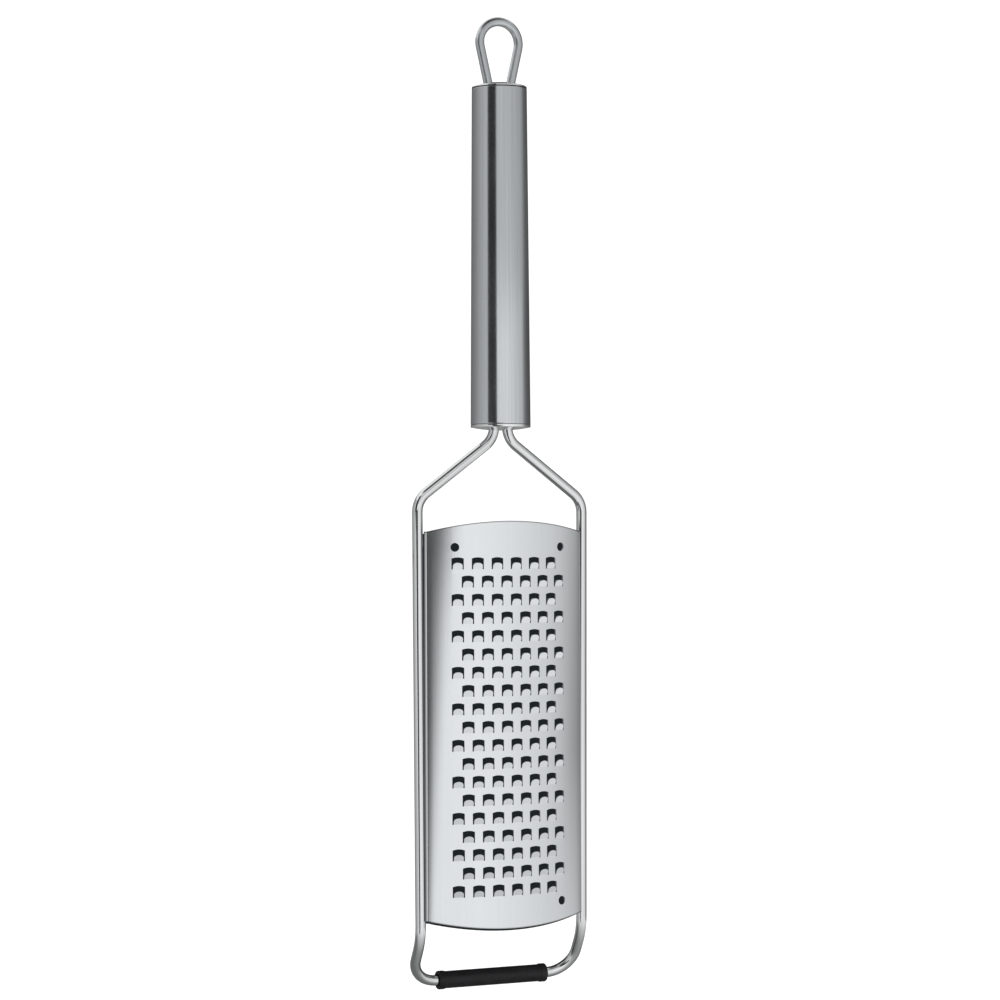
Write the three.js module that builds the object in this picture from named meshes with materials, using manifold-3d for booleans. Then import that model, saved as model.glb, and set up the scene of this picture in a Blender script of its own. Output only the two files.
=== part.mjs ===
// Hand-held steel grater: an arched blade of punched teeth in a bent wire frame,
// on a tapered tube handle that hangs by a wire loop.
// Millimetres. X runs across the blade, Y points to the back and Z runs up the handle.
// The origin is the point where a hook carries the loop, at the top of its eye.
import * as THREE from 'three';
import { mergeGeometries, mergeVertices } from 'three/addons/utils/BufferGeometryUtils.js';
import Module from 'manifold-3d';

const wasm = await Module();
wasm.setup();

// Clearance between a piece and what it is let into or laid on
const fitGap = 0.3;

// Hanging loop: a round eye whose limbs lean in towards the handle
const loopWire = 3.5;
const eyeRadius = 6.4;
const limbSpacing = 9;
const loopReach = 23.2;
const limbTail = 1;

// Handle tube, a little wider towards the blade
const tubeLength = 129.1;
const tubeTopDiameter = 21.2;
const tubeBottomDiameter = 23;
const tubeWall = 0.8;
const tubeChamfer = 0.25;

// Turned caps that close the tube
const capRim = 0.8;
const capDome = 1.4;
const capEdgeRound = 0.25;
const spigotDepth = 4;

// Frame wire: one rod, bent from leg to arm to rail to foot and back
const frameWire = 4;
const legGap = 1.5;
const legTail = 10;
const neckDrop = 4.5;
const neckBend = 9;
const armDrop = 23.8;
const shoulderBend = 9;
const railSpacing = 67.8;
const railSplay = 0.8;
const railSetback = 0.5;
const railAboveBlade = 11.8;
const railBelowBlade = 6.5;
const footBend = 20;
const footDrop = 17.4;
const footSetback = 10.5;
const footCorner = 10.5;

// Blade sheet: an arch whose two sides are bent back onto the rails
const sheet = 0.6;
const archRise = 6.9;
const creaseInset = 1.85;
const returnWidth = 1.1;
const returnTilt = THREE.MathUtils.degToRad(55);
const topBulge = 4;
const bottomBulge = 3.1;
const endMargin = 11.85;

// Punched teeth: staggered rows, each tooth a round-ended tongue raised out of its window
const toothRows = 19;
const toothColumns = 6;
const toothPitch = 7.77;
const rowPitch = 6.89;
const windowWidth = 4.7;
const windowRise = 2.05;
const windowDrop = 2.5;
const windowCrown = 0.45;
const tongueClearance = 0.5;
const tongueReach = 2.75;
const tongueRise = 0.85;
const tongueThickness = 0.5;
const tongueEnd = 0.7;
const tongueRoot = 0.6;

// Fixing holes near three corners of the blade
const holeDiameter = 3.2;
const holeOffset = 22.4;
const holeMargin = 6;

// Soft sleeve on the straight of the foot bar, with a rolled lip at each end
const sleeveInset = 0.7;
const sleeveWall = 1;
const lipHeight = 0.25;
const lipLength = 2.2;
const lipRamp = 0.55;

// Fineness of the round forms
const lathSegments = 32;
const rodSides = 12;
const bendStep = THREE.MathUtils.degToRad(11);
const eyeStep = THREE.MathUtils.degToRad(13);
const endSteps = 16;
const crownSteps = 2;
const tongueSteps = 3;
const tongueEndSteps = 6;
const capEdgeSteps = 2;
const capDomeSteps = 3;
const holeSides = 12;
const weldDistance = 1e-4;

// Heights and half widths that follow from the sizes above
const loopRadius = eyeRadius + loopWire / 2;
const eyeToRoot = new THREE.Vector2(limbSpacing / 2, eyeRadius - loopReach);
const limbLean = 2 * Math.PI - eyeToRoot.angle() - Math.acos(loopRadius / eyeToRoot.length());
const handleTop = -loopReach;
const tubeTop = handleTop - capRim;
const tubeBottom = tubeTop - tubeLength;
const handleBottom = tubeBottom - capRim;
const neckHeight = handleBottom - neckDrop;
const shoulderHeight = neckHeight - armDrop;
const bladeTop = shoulderHeight - railAboveBlade;
const bladeLength = (toothRows - 1) * rowPitch + 2 * endMargin;
const bladeBottom = bladeTop - bladeLength;
const bladeMiddle = (bladeTop + bladeBottom) / 2;
const footBendHeight = bladeBottom - railBelowBlade;
const footHeight = footBendHeight - footDrop;
const legReach = (frameWire + legGap) / 2;
const railReach = railSpacing / 2;
const sleeveReach = railReach - footCorner - sleeveInset;
const archReach = railReach - creaseInset;
const archRadius = (archReach ** 2 + archRise ** 2) / (2 * archRise);
const creaseAngle = Math.asin(archReach / archRadius);
const returnRun = new THREE.Vector2(Math.cos(returnTilt), Math.sin(returnTilt)).multiplyScalar(returnWidth);
const returnSkin = new THREE.Vector2(Math.sin(returnTilt), -Math.cos(returnTilt)).multiplyScalar(sheet / 2);
const bladeReach = archReach + returnRun.x + returnSkin.x;
const returnSeat = Math.sqrt((frameWire / 2 + fitGap) ** 2 - (railReach - bladeReach) ** 2);
const creaseDepth = railSetback - returnSeat - returnRun.y - returnSkin.y;
const archCentre = creaseDepth - archRise + archRadius;
const rowShift = toothPitch / 4;
const tongueWidth = windowWidth - 2 * tongueClearance;
const cutterDepth = 4 * sheet;

// A closed solid for cutting and joining, with its shared corners welded
function solidOf(geometry) {
  const bare = new THREE.BufferGeometry();
  bare.setAttribute('position', geometry.getAttribute('position'));
  bare.setIndex(geometry.getIndex());
  const welded = mergeVertices(bare, weldDistance);
  const corners = welded.getIndex().array;
  const triangles = [];
  for (let i = 0; i < corners.length; i += 3) {
    const [a, b, c] = corners.slice(i, i + 3);
    if (a !== b && b !== c && c !== a) {
      triangles.push(a, b, c);
    }
  }
  const vertProperties = new Float32Array(welded.getAttribute('position').array);
  const triVerts = new Uint32Array(triangles);
  return new wasm.Manifold(new wasm.Mesh({ numProp: 3, vertProperties, triVerts }));
}

// The surface of a solid, as a geometry
function geometryOf(solid) {
  const surface = solid.getMesh();
  const geometry = new THREE.BufferGeometry();
  geometry.setAttribute('position', new THREE.BufferAttribute(surface.vertProperties, 3));
  geometry.setIndex(new THREE.BufferAttribute(surface.triVerts, 1));
  geometry.computeVertexNormals();
  return geometry;
}

// Several separate bodies as one solid, for a single cut or join
function patternOf(geometries) {
  const bare = geometries.map((geometry) => {
    const body = geometry.index ? geometry.toNonIndexed() : geometry.clone();
    body.deleteAttribute('normal');
    body.deleteAttribute('uv');
    return body;
  });
  return solidOf(mergeGeometries(bare));
}

// The centre line of a bent rod, sampled at its stations
class RodLine extends THREE.Curve {
  constructor(stations) {
    super();
    this.stations = stations;
  }

  getPoint(t, target = new THREE.Vector3()) {
    const last = this.stations.length - 1;
    const index = Math.min(Math.floor(t * last), last - 1);
    return target.lerpVectors(this.stations[index], this.stations[index + 1], t * last - index);
  }

  getPointAt(u, target) {
    return this.getPoint(u, target);
  }

  getTangentAt(u, target = new THREE.Vector3()) {
    const last = this.stations.length - 1;
    const index = Math.round(u * last);
    const before = this.stations[Math.max(index - 1, 0)];
    const after = this.stations[Math.min(index + 1, last)];
    return target.subVectors(after, before).normalize();
  }
}

// Straight runs between corners, each corner rounded to its bend radius
function bentLine(corners) {
  const stations = [corners[0].at];
  for (let i = 1; i < corners.length - 1; i += 1) {
    const { at, bend } = corners[i];
    const back = corners[i - 1].at.clone().sub(at).normalize();
    const ahead = corners[i + 1].at.clone().sub(at).normalize();
    const half = back.angleTo(ahead) / 2;
    const inward = back.clone().add(ahead).normalize();
    const centre = at.clone().addScaledVector(inward, bend / Math.sin(half));
    const start = at.clone().addScaledVector(back, bend / Math.tan(half)).sub(centre);
    const axis = back.clone().cross(ahead).normalize();
    const turn = Math.PI - 2 * half;
    const steps = Math.ceil(turn / bendStep);
    for (let step = 0; step <= steps; step += 1) {
      const spoke = start.clone().applyAxisAngle(axis, -turn * step / steps);
      stations.push(spoke.add(centre));
    }
  }
  stations.push(corners[corners.length - 1].at);
  return new RodLine(stations);
}

// A round rod along a centre line
function rod(line, diameter) {
  const section = [];
  for (let side = 0; side < rodSides; side += 1) {
    const angle = 2 * Math.PI * side / rodSides;
    section.push(new THREE.Vector2(Math.cos(angle), Math.sin(angle)).multiplyScalar(diameter / 2));
  }
  const options = { steps: line.stations.length - 1, extrudePath: line, bevelEnabled: false };
  return new THREE.ExtrudeGeometry(new THREE.Shape(section), options);
}

// A turned piece on the Z axis, from a profile of radius and height
function turned(profile) {
  const points = profile.map(([radius, height]) => new THREE.Vector2(radius, height));
  return new THREE.LatheGeometry(points, lathSegments).rotateX(Math.PI / 2);
}

// Points on an arc about a centre, both ends included
function arcPoints(centre, radii, from, to, steps) {
  const points = [];
  for (let step = 0; step <= steps; step += 1) {
    const angle = from + (to - from) * step / steps;
    const x = centre[0] + radii[0] * Math.cos(angle);
    const y = centre[1] + radii[1] * Math.sin(angle);
    points.push(new THREE.Vector2(x, y));
  }
  return points;
}

// An arc that bulges up from a level chord, from the chord's right end to its left end
function shallowArc(reach, bulge, height, steps) {
  const radius = (reach ** 2 + bulge ** 2) / (2 * bulge);
  const half = Math.asin(reach / radius);
  const middle = Math.PI / 2;
  const centre = [0, height + bulge - radius];
  return arcPoints(centre, [radius, radius], middle - half, middle + half, steps);
}

// A flat outline pushed through along its own normal, centred on its plane
function plate(outline, thickness) {
  const shape = new THREE.Shape(outline);
  const geometry = new THREE.ExtrudeGeometry(shape, { depth: thickness, bevelEnabled: false });
  return geometry.translate(0, 0, -thickness / 2);
}

// The loop's centre line: up one limb, round the eye and down the other limb
function loopLine() {
  const eyeHeight = -eyeRadius;
  const rootHeight = tubeTop - spigotDepth - limbTail;
  const limbTop = new THREE.Vector2(Math.cos(limbLean), -Math.sin(limbLean)).multiplyScalar(loopRadius);
  const limbRun = eyeHeight + limbTop.y - rootHeight;
  const rootReach = limbTop.x - limbRun * Math.tan(limbLean);
  const sweep = Math.PI + 2 * limbLean;
  const steps = Math.ceil(sweep / eyeStep);
  const stations = [new THREE.Vector3(rootReach, 0, rootHeight)];
  for (let step = 0; step <= steps; step += 1) {
    const angle = -limbLean + sweep * step / steps;
    const x = loopRadius * Math.cos(angle);
    const z = eyeHeight + loopRadius * Math.sin(angle);
    stations.push(new THREE.Vector3(x, 0, z));
  }
  stations.push(new THREE.Vector3(-rootReach, 0, rootHeight));
  return new RodLine(stations);
}

// The frame's centre line, from one leg inside the handle round to the other
function frameLine() {
  const half = [
    { at: [legReach, 0, tubeBottom + spigotDepth + legTail] },
    { at: [legReach, 0, neckHeight], bend: neckBend },
    { at: [railReach + railSplay, railSetback, shoulderHeight], bend: shoulderBend },
    { at: [railReach, railSetback, footBendHeight], bend: footBend },
    { at: [railReach, footSetback, footHeight], bend: footCorner },
  ];
  const right = half.map(({ at: [x, y, z], bend }) => ({ at: new THREE.Vector3(x, y, z), bend }));
  const left = half.map(({ at: [x, y, z], bend }) => ({ at: new THREE.Vector3(-x, y, z), bend }));
  return bentLine([...right, ...left.reverse()]);
}

// The tube, open at both ends
function handleTube() {
  const top = tubeTopDiameter / 2;
  const bottom = tubeBottomDiameter / 2;
  return turned([
    [bottom - tubeWall, tubeBottom],
    [bottom - tubeChamfer, tubeBottom],
    [bottom, tubeBottom + tubeChamfer],
    [top, tubeTop - tubeChamfer],
    [top - tubeChamfer, tubeTop],
    [top - tubeWall, tubeTop],
    [bottom - tubeWall, tubeBottom],
  ]);
}

// A cap with its seat at height zero: a spigot below, a rounded rim and a shallow dome above
function capBody(radius) {
  const spigotRadius = radius - tubeWall - fitGap;
  const domeReach = radius - capEdgeRound;
  const edgeCentre = [domeReach, capRim - capEdgeRound];
  const edge = arcPoints(edgeCentre, [capEdgeRound, capEdgeRound], 0, Math.PI / 2, capEdgeSteps);
  const dome = shallowArc(domeReach, capDome, capRim, 2 * capDomeSteps);
  return turned([
    [0, -spigotDepth],
    [spigotRadius, -spigotDepth],
    [spigotRadius, 0],
    [radius - tubeChamfer, 0],
    [radius, tubeChamfer],
    ...edge.map((point) => point.toArray()),
    ...dome.slice(1, capDomeSteps).map((point) => point.toArray()),
    [0, capRim + capDome],
  ]);
}

// The top cap, bored for the loop's two limbs
function topCap() {
  const bores = solidOf(rod(loopLine(), loopWire + 2 * fitGap));
  const body = solidOf(capBody(tubeTopDiameter / 2).translate(0, 0, tubeTop));
  return geometryOf(body.subtract(bores));
}

// The bottom cap, bored for the frame's two legs
function bottomCap() {
  const bores = solidOf(rod(frameLine(), frameWire + 2 * fitGap));
  const body = solidOf(capBody(tubeBottomDiameter / 2).rotateX(Math.PI).translate(0, 0, tubeBottom));
  return geometryOf(body.subtract(bores));
}

// A place on the arch: X along the tangent, Y up and Z out of the sheet
function archPlace(along, height) {
  const angle = along / archRadius;
  const tangent = new THREE.Vector3(Math.cos(angle), Math.sin(angle), 0);
  const up = new THREE.Vector3(0, 0, 1);
  const out = tangent.clone().cross(up);
  const place = new THREE.Matrix4().makeBasis(tangent, up, out);
  return place.setPosition(out.x * archRadius, archCentre + out.y * archRadius, height);
}

// One face of the sheet's cross section, from the left edge to the right edge, with a facet edge
// under the middle of each tooth; side is 1 for the front face and -1 for the back face
function sheetFace(side) {
  const radius = archRadius + side * sheet / 2;
  const toothAngle = rowShift / archRadius;
  const half = [];
  for (let angle = toothAngle; angle < creaseAngle; angle += 2 * toothAngle) {
    half.push(new THREE.Vector2(radius * Math.sin(angle), archCentre - radius * Math.cos(angle)));
  }
  const crease = new THREE.Vector2(archReach, creaseDepth);
  const archSkin = new THREE.Vector2(Math.sin(creaseAngle), -Math.cos(creaseAngle)).multiplyScalar(sheet / 2);
  const mitre = archSkin.clone().add(returnSkin);
  mitre.multiplyScalar(2 * archSkin.lengthSq() / mitre.lengthSq());
  half.push(crease.clone().addScaledVector(mitre, side));
  half.push(crease.clone().add(returnRun).addScaledVector(returnSkin, side));
  const mirrored = half.map((point) => new THREE.Vector2(-point.x, point.y));
  return [...mirrored.reverse(), ...half];
}

// The blade's outline seen from the front, with its ends cut in shallow arcs
function bladeOutline() {
  const half = bladeLength / 2;
  const bottomEnd = shallowArc(archReach, bottomBulge, half, endSteps);
  return [
    new THREE.Vector2(bladeReach, -half),
    new THREE.Vector2(bladeReach, half),
    ...shallowArc(archReach, topBulge, half, endSteps),
    new THREE.Vector2(-bladeReach, half),
    new THREE.Vector2(-bladeReach, -half),
    ...bottomEnd.map((point) => point.negate()),
  ];
}

// A window with a crowned upper edge
function windowCut() {
  const side = windowWidth / 2;
  const outline = [
    new THREE.Vector2(-side, -windowDrop),
    new THREE.Vector2(side, -windowDrop),
    ...shallowArc(side, windowCrown, windowRise - windowCrown, crownSteps),
  ];
  return plate(outline, cutterDepth);
}

// A tongue: an arc bent out of the sheet from the window's lower edge, with a round end
function tongue() {
  const bend = (tongueReach ** 2 + tongueRise ** 2) / (2 * tongueRise);
  const turn = Math.asin(tongueReach / bend);
  const skin = tongueThickness / 2;
  const side = [
    new THREE.Vector2(-skin, -tongueRoot),
    ...arcPoints([-bend, 0], [bend - skin, bend - skin], 0, turn, tongueSteps),
    ...arcPoints([-bend, 0], [bend + skin, bend + skin], turn, 0, tongueSteps),
    new THREE.Vector2(skin, -tongueRoot),
  ];
  const strip = plate(side, tongueWidth).rotateY(Math.PI / 2);
  const half = tongueWidth / 2;
  const plan = [
    new THREE.Vector2(-half, -2 * tongueRoot),
    new THREE.Vector2(half, -2 * tongueRoot),
    ...arcPoints([0, tongueReach - tongueEnd], [half, tongueEnd], 0, Math.PI, tongueEndSteps),
  ];
  const rounding = plate(plan, 2 * (tongueRise + tongueThickness));
  const rounded = solidOf(strip).intersect(solidOf(rounding));
  return geometryOf(rounded).translate(0, -windowDrop, 0);
}

// The blade: arched sheet, outline, windows, holes and raised tongues
function graterBlade() {
  const section = [...sheetFace(1), ...sheetFace(-1).reverse()];
  const arch = plate(section, bladeLength + 2 * (topBulge + bottomBulge));
  const outline = plate(bladeOutline(), 4 * archRadius).rotateX(Math.PI / 2);
  const windowShape = windowCut();
  const tongueShape = tongue();
  const windows = [];
  const tongues = [];
  for (let row = 0; row < toothRows; row += 1) {
    const shift = row % 2 === 0 ? -rowShift : rowShift;
    const height = ((toothRows - 1) / 2 - row) * rowPitch;
    for (let column = 0; column < toothColumns; column += 1) {
      const along = (column - (toothColumns - 1) / 2) * toothPitch + shift;
      const place = archPlace(along, height);
      windows.push(windowShape.clone().applyMatrix4(place));
      tongues.push(tongueShape.clone().applyMatrix4(place));
    }
  }
  const holeHeight = bladeLength / 2 - holeMargin;
  const holes = [[-1, 1], [1, 1], [1, -1]].map(([side, end]) => {
    const cutter = new THREE.CylinderGeometry(holeDiameter / 2, holeDiameter / 2, cutterDepth, holeSides);
    return cutter.rotateX(Math.PI / 2).applyMatrix4(archPlace(side * holeOffset, end * holeHeight));
  });
  const blank = solidOf(arch).intersect(solidOf(outline));
  const punched = blank.subtract(patternOf([...windows, ...holes])).add(patternOf(tongues));
  return geometryOf(punched).translate(0, 0, bladeMiddle);
}

// The sleeve, turned about the foot bar
function footSleeve() {
  const bore = frameWire / 2 + fitGap;
  const body = bore + sleeveWall;
  const lip = body + lipHeight;
  const sleeve = turned([
    [bore, -sleeveReach],
    [body, -sleeveReach],
    [lip, -sleeveReach + lipRamp],
    [lip, -sleeveReach + lipLength - lipRamp],
    [body, -sleeveReach + lipLength],
    [body, sleeveReach - lipLength],
    [lip, sleeveReach - lipLength + lipRamp],
    [lip, sleeveReach - lipRamp],
    [body, sleeveReach],
    [bore, sleeveReach],
    [bore, -sleeveReach],
  ]);
  return sleeve.rotateY(Math.PI / 2).translate(0, footSetback, footHeight);
}

function steel(colour, roughness) {
  return new THREE.MeshStandardMaterial({ color: colour, roughness, metalness: 1 });
}

function piece(name, geometry, material) {
  const mesh = new THREE.Mesh(geometry, material);
  mesh.name = name;
  return mesh;
}

const silicone = new THREE.MeshStandardMaterial({ color: 0x232428, roughness: 0.7, metalness: 0 });

const grater = new THREE.Group();
grater.add(piece('hanging_loop', rod(loopLine(), loopWire), steel(0xb9bdbc, 0.25)));
grater.add(piece('handle_top_cap', topCap(), steel(0xc2c4c6, 0.25)));
grater.add(piece('handle_tube', handleTube(), steel(0xa9adad, 0.38)));
grater.add(piece('handle_bottom_cap', bottomCap(), steel(0xc2c4c6, 0.25)));
grater.add(piece('frame_wire', rod(frameLine(), frameWire), steel(0xb9bdbc, 0.25)));
grater.add(piece('grater_blade', graterBlade(), steel(0xd3d6d7, 0.4)));
grater.add(piece('foot_sleeve', footSleeve(), silicone));

export default grater;
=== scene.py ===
import math

import bmesh
import bpy
from mathutils import Matrix, Vector


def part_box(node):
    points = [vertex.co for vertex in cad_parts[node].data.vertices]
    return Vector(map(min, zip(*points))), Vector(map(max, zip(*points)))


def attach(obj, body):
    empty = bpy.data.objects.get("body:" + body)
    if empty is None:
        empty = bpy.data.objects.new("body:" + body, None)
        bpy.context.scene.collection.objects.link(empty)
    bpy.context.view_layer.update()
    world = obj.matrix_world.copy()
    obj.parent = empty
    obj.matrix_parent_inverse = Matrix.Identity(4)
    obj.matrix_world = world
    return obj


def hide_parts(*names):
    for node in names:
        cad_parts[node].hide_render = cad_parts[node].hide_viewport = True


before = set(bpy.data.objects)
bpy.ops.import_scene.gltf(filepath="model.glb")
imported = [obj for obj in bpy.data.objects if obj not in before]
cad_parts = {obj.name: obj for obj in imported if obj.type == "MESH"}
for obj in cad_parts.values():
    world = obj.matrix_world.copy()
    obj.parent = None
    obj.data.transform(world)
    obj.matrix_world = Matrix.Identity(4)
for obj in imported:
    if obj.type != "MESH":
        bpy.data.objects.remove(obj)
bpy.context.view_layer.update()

MM = 0.001

# Distance under which two places count as one, and under which a turned piece's points are merged
NEAR = 0.01 * MM
MERGE = 0.0001 * MM

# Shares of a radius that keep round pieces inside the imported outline
ROD_TRIM = 0.9995
SLEEVE_TRIM = 0.9999

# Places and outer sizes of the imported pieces
loop_low, loop_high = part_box("hanging_loop")
top_cap_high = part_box("handle_top_cap")[1]
tube_low, tube_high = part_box("handle_tube")
wire_low, wire_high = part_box("frame_wire")
blade_low, blade_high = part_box("grater_blade")
sleeve_low, sleeve_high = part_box("foot_sleeve")

# Clearance of a wire in a cap's bore, of a spigot in the tube and of the bar in the sleeve
BORE_GAP = 0.22 * MM
SPIGOT_GAP = 0.3 * MM
SLEEVE_GAP = 0.3 * MM

# Hanging loop
LOOP_WIRE = loop_high.y
EYE_LINE = loop_high.x - LOOP_WIRE
EYE_HEIGHT = loop_high.z - loop_high.x
LIMB_REACH = 4.5 * MM

# Handle: a tapered tube between two turned caps
TUBE_TOP = tube_high.z
TUBE_BOTTOM = tube_low.z
TUBE_TOP_RADIUS = top_cap_high.x
TUBE_BOTTOM_RADIUS = tube_high.x
TUBE_WALL = 0.8 * MM
TUBE_EDGE = 0.22 * MM
TOP_SEAM = 0.3 * MM
BOTTOM_SEAM = 0.12 * MM
SEAM_EDGE = 0.06 * MM
CAP_RIM = 0.8 * MM
CAP_HEIGHT = 2.2 * MM
CAP_SPIGOT = 4 * MM
TOP_RIM = 0.65 * MM
TOP_EDGE = 0.4 * MM
BOTTOM_RIM = 1.1 * MM
BOTTOM_EDGE = 0.16 * MM

# Frame wire, from the legs in the handle to the foot bar
FRAME_WIRE = 2 * MM
LEG_REACH = 2.75 * MM
NECK_DROP = 4.5 * MM
ARM_DROP = 23.8 * MM
FOOT_DROP = 17.4 * MM
NECK_HEIGHT = TUBE_BOTTOM - CAP_RIM - NECK_DROP
NECK_BEND = 9 * MM
SHOULDER_HEIGHT = NECK_HEIGHT - ARM_DROP
SHOULDER_BEND = 9 * MM
RAIL_REACH = 33.9 * MM
RAIL_SPLAY = 0.8 * MM
RAIL_SETBACK = 0.5 * MM
FOOT_HEIGHT = wire_low.z + FRAME_WIRE
FOOT_BEND_HEIGHT = FOOT_HEIGHT + FOOT_DROP
FOOT_BEND = 20 * MM
FOOT_SETBACK = wire_high.y - FRAME_WIRE
FOOT_CORNER = 10.5 * MM

# Blade sheet: an arch with its sides bent back to the rails and its ends cut in shallow arcs
SHEET = 0.6 * MM
ARCH_RISE = 6.9 * MM
ARCH_INSET = 1.85 * MM
ARCH_REACH = RAIL_REACH - ARCH_INSET
ARCH_RADIUS = (ARCH_REACH ** 2 + ARCH_RISE ** 2) / (2 * ARCH_RISE)
CREASE_ANGLE = math.asin(ARCH_REACH / ARCH_RADIUS)
RETURN_TILT = math.radians(55)
RETURN_WIDTH = 1.09 * MM
CREASE_DEPTH = blade_high.y - RETURN_WIDTH * math.sin(RETURN_TILT) - SHEET / 2 * math.cos(RETURN_TILT)
ARCH_CENTRE = CREASE_DEPTH - ARCH_RISE + ARCH_RADIUS
CREASE_BEND = 0.6 * MM
CREASE_SETBACK = CREASE_BEND * math.tan((RETURN_TILT - CREASE_ANGLE) / 2)
BEND_START = ARCH_RADIUS * CREASE_ANGLE - CREASE_SETBACK
BEND_LENGTH = CREASE_BEND * (RETURN_TILT - BEND_START / ARCH_RADIUS)
SHEET_HALF = BEND_START + BEND_LENGTH + RETURN_WIDTH - CREASE_SETBACK
TOP_BULGE = 4 * MM
BOTTOM_BULGE = 3.6 * MM
BLADE_TOP = blade_high.z - TOP_BULGE
BLADE_BOTTOM = blade_low.z + BOTTOM_BULGE
ROW_SHIFT = 0.25 * MM
BLADE_MIDDLE = (BLADE_TOP + BLADE_BOTTOM) / 2 - ROW_SHIFT

# Punched teeth in staggered rows
TOOTH_ROWS = 19
TOOTH_COLUMNS = 6
TOOTH_PITCH = 7.77 * MM
ROW_PITCH = 6.89 * MM
FIRST_ROW = BLADE_MIDDLE + (TOOTH_ROWS - 1) / 2 * ROW_PITCH
WINDOW_SIDE = 2.35 * MM
WINDOW_RISE = 2.05 * MM
WINDOW_DROP = 2.5 * MM
WINDOW_CROWN = 0.45 * MM
TONGUE_SIDE = 1.85 * MM
TONGUE_SHOULDER = 0.95 * MM
TONGUE_REACH = 2.45 * MM
TONGUE_TILT = math.radians(17.5)
TONGUE_BEND = 0.6 * MM
BEND_REACH = TONGUE_BEND * math.sin(TONGUE_TILT)
TONGUE_END = 1.1 * MM

# Fixing holes
HOLE_RADIUS = 1.7 * MM
HOLE_ALONG = 22.4 * MM
HOLE_MARGIN = 6 * MM
HOLE_PATCH = 2.5 * MM

# Width of the painted shade along a cut end of the sheet
EDGE_SHADE_WIDTH = 0.55 * MM

# Where the flat sheet has lines: shares of the plain steel at an end and of a tongue's bend, angles in
# degrees round a tongue's end, and how many steps the plain sides and their bends are cut in
END_LINES = (0.13, 0.56, 0.8, 1)
TONGUE_LINES = (0.5, 1, 1.4)
TONGUE_END_ANGLES = (30, 54, 72, 84)
SIDE_STEPS = 4

# Dark card behind the blade
SHADE_GAP = 0.8 * MM
SHADE_PAST_END = 0.8 * MM
SHADE_LEAN = 0.15 * MM
SHADE_PAST_SIDE = 3 * MM
SHADE_STEPS = 40

# Soft sleeve on the foot bar
SLEEVE_REACH = sleeve_high.x
SLEEVE_RADIUS = (sleeve_high.z - sleeve_low.z) / 2 * SLEEVE_TRIM
SLEEVE_BORE = FRAME_WIRE + SLEEVE_GAP
LIP_HEIGHT = 0.25 * MM
LIP_LENGTH = 2.2 * MM
LIP_RAMP = 0.9 * MM
LIP_ROUND = 0.4 * MM

# Fineness of the round forms
ROD_SIDES = 28
BEND_STEP = math.radians(5)
LATHE_STEPS = 128
ARC_STEPS = 6
SHARP = math.radians(20)

# Attributes that carry a pattern along a bent rod, painted shade along the sheet's ends and sides, and a
# card's brightness
ROD_PLACE = "rod_place"
PAINTED_EDGE_SHADE = "painted_edge_shade"
CARD_SHADE = "shade"


def new_object(name, bm):
    """A finished bmesh as an object at the origin, shaded smooth between its sharp edges"""
    for face in bm.faces:
        face.smooth = True
    mesh = bpy.data.meshes.new(name)
    bm.to_mesh(mesh)
    bm.free()
    made = bpy.data.objects.new(name, mesh)
    bpy.context.scene.collection.objects.link(made)
    return made


def verts_of(geometry):
    return [item for item in geometry if isinstance(item, bmesh.types.BMVert)]


def edges_of(geometry):
    return [item for item in geometry if isinstance(item, bmesh.types.BMEdge)]


def mark_sharp(bm):
    for edge in bm.edges:
        edge.smooth = not edge.is_manifold or edge.calc_face_angle() < SHARP


def arc_points(centre, radius, start, end, steps=ARC_STEPS):
    """Points on an arc in a profile, angles in degrees"""
    angles = [math.radians(start + (end - start) * step / steps) for step in range(steps + 1)]
    return [(centre[0] + radius * math.cos(a), centre[1] + radius * math.sin(a)) for a in angles]


def grow_section(bm, place, section, move, length):
    """Draws a rod on by one step and returns its new end section"""
    inside = set(section)
    rim = {edge for vert in section for edge in vert.link_edges if inside.issuperset(edge.verts)}
    grown = verts_of(bmesh.ops.extrude_edge_only(bm, edges=list(rim))["geom"])
    bmesh.ops.transform(bm, matrix=move, verts=grown)
    for vert in grown:
        vert[place] = vert[place] + Vector((0, 0, length))
    return grown


def bent_rod(corners, radius):
    """A round rod drawn through straight runs, with each corner rounded to its bend radius"""
    bm = bmesh.new()
    place = bm.verts.layers.float_vector.new(ROD_PLACE)
    points = [Vector(point) for point, bend in corners]
    heading = (points[1] - points[0]).normalized()
    section = bmesh.ops.create_circle(bm, segments=ROD_SIDES, radius=radius * ROD_TRIM)["verts"]
    for vert in section:
        vert[place] = vert.co
    facing = heading.to_track_quat("Z", "Y").to_matrix().to_4x4()
    bmesh.ops.transform(bm, matrix=Matrix.Translation(points[0]) @ facing, verts=section)
    at = points[0]
    for index in range(1, len(corners) - 1):
        bend = corners[index][1]
        ahead = (points[index + 1] - points[index]).normalized()
        turn = heading.angle(ahead)
        setback = bend * math.tan(turn / 2)
        run = points[index] - heading * setback - at
        if run.length > NEAR:
            section = grow_section(bm, place, section, Matrix.Translation(run), run.length)
        axis = heading.cross(ahead).normalized()
        centre = at + run + axis.cross(heading) * bend
        steps = math.ceil(turn / BEND_STEP)
        swing = (
            Matrix.Translation(centre)
            @ Matrix.Rotation(turn / steps, 4, axis)
            @ Matrix.Translation(-centre)
        )
        for step in range(steps):
            section = grow_section(bm, place, section, swing, bend * turn / steps)
        at = points[index] + ahead * setback
        heading = ahead
    run = points[-1] - at
    grow_section(bm, place, section, Matrix.Translation(run), run.length)
    bmesh.ops.holes_fill(bm, edges=[edge for edge in bm.edges if edge.is_boundary])
    bmesh.ops.recalc_face_normals(bm, faces=bm.faces)
    mark_sharp(bm)
    return bm


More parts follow.
